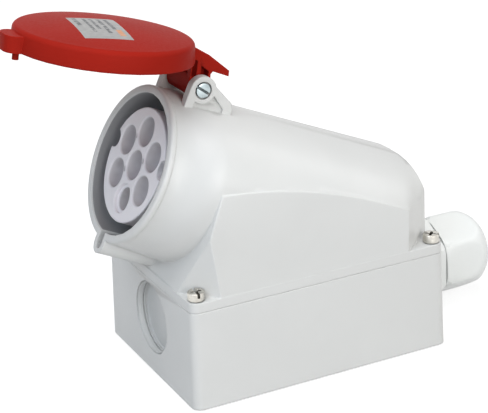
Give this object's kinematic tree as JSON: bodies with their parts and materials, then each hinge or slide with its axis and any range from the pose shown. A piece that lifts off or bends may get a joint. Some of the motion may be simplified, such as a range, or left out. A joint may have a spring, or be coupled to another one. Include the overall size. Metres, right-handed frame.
{
  "type": "industrial wall socket",
  "caption": "Surface-mounted industrial wall socket: grey box with a tilted round collar, sleeve contacts, a sprung red lid held open, and a cable gland.",
  "frame": {"origin": "centre of the back face, where the box meets the wall", "axes": "+Z out of the wall, +Y along the box towards the cable gland, +X across the box"},
  "size_m": [0.0856, 0.2101, 0.1522],
  "materials": {
    "moulded_grey": "satin moulded",
    "moulded_red": "satin moulded",
    "moulded_lilac": "satin moulded",
    "nylon_white": "smooth nylon",
    "rubber_black": "dull",
    "brass": "turned",
    "nickel_steel": "nickel plated",
    "zinc_steel": "zinc plated"
  },
  "bodies": {
    "housing": {"base_box": "moulded_grey", "cover_housing": "moulded_grey", "rim_gasket": "rubber_black", "cover_screw_1": "nickel_steel", "cover_screw_2": "nickel_steel", "cover_screw_3": "nickel_steel", "cover_screw_4": "nickel_steel", "thread_insert_1": "brass", "thread_insert_2": "brass", "thread_insert_3": "brass", "thread_insert_4": "brass", "contact_insert": "moulded_lilac", "terminal_block": "moulded_lilac", "contact_sleeve_earth": "brass", "contact_sleeve_pole_1": "brass", "contact_sleeve_pole_2": "brass", "contact_sleeve_pole_3": "brass", "contact_sleeve_pole_4": "brass", "contact_sleeve_pole_5": "brass", "contact_sleeve_pole_6": "brass", "terminal_screw_earth": "zinc_steel", "terminal_screw_pole_1": "zinc_steel", "terminal_screw_pole_2": "zinc_steel", "terminal_screw_pole_3": "zinc_steel", "terminal_screw_pole_4": "zinc_steel", "terminal_screw_pole_5": "zinc_steel", "terminal_screw_pole_6": "zinc_steel", "insert_screw_1": "zinc_steel", "insert_screw_2": "zinc_steel", "insert_screw_3": "zinc_steel", "hinge_pin": "zinc_steel", "torsion_spring": "nickel_steel", "gland_body": "nylon_white", "gland_washer": "rubber_black", "gland_nut": "nylon_white", "gland_seal": "rubber_black", "gland_locknut": "nylon_white"},
    "lid": {"lid": "moulded_red", "lid_seal": "rubber_black"}
  },
  "joints": [
    {"name": "lid_hinge", "type": "hinge", "parent": "housing", "child": "lid", "pos_m": [0, -0.03476, 0.11991], "axis": [-1, 0, 0], "range_deg": [-74.9, 45]}
  ]
}
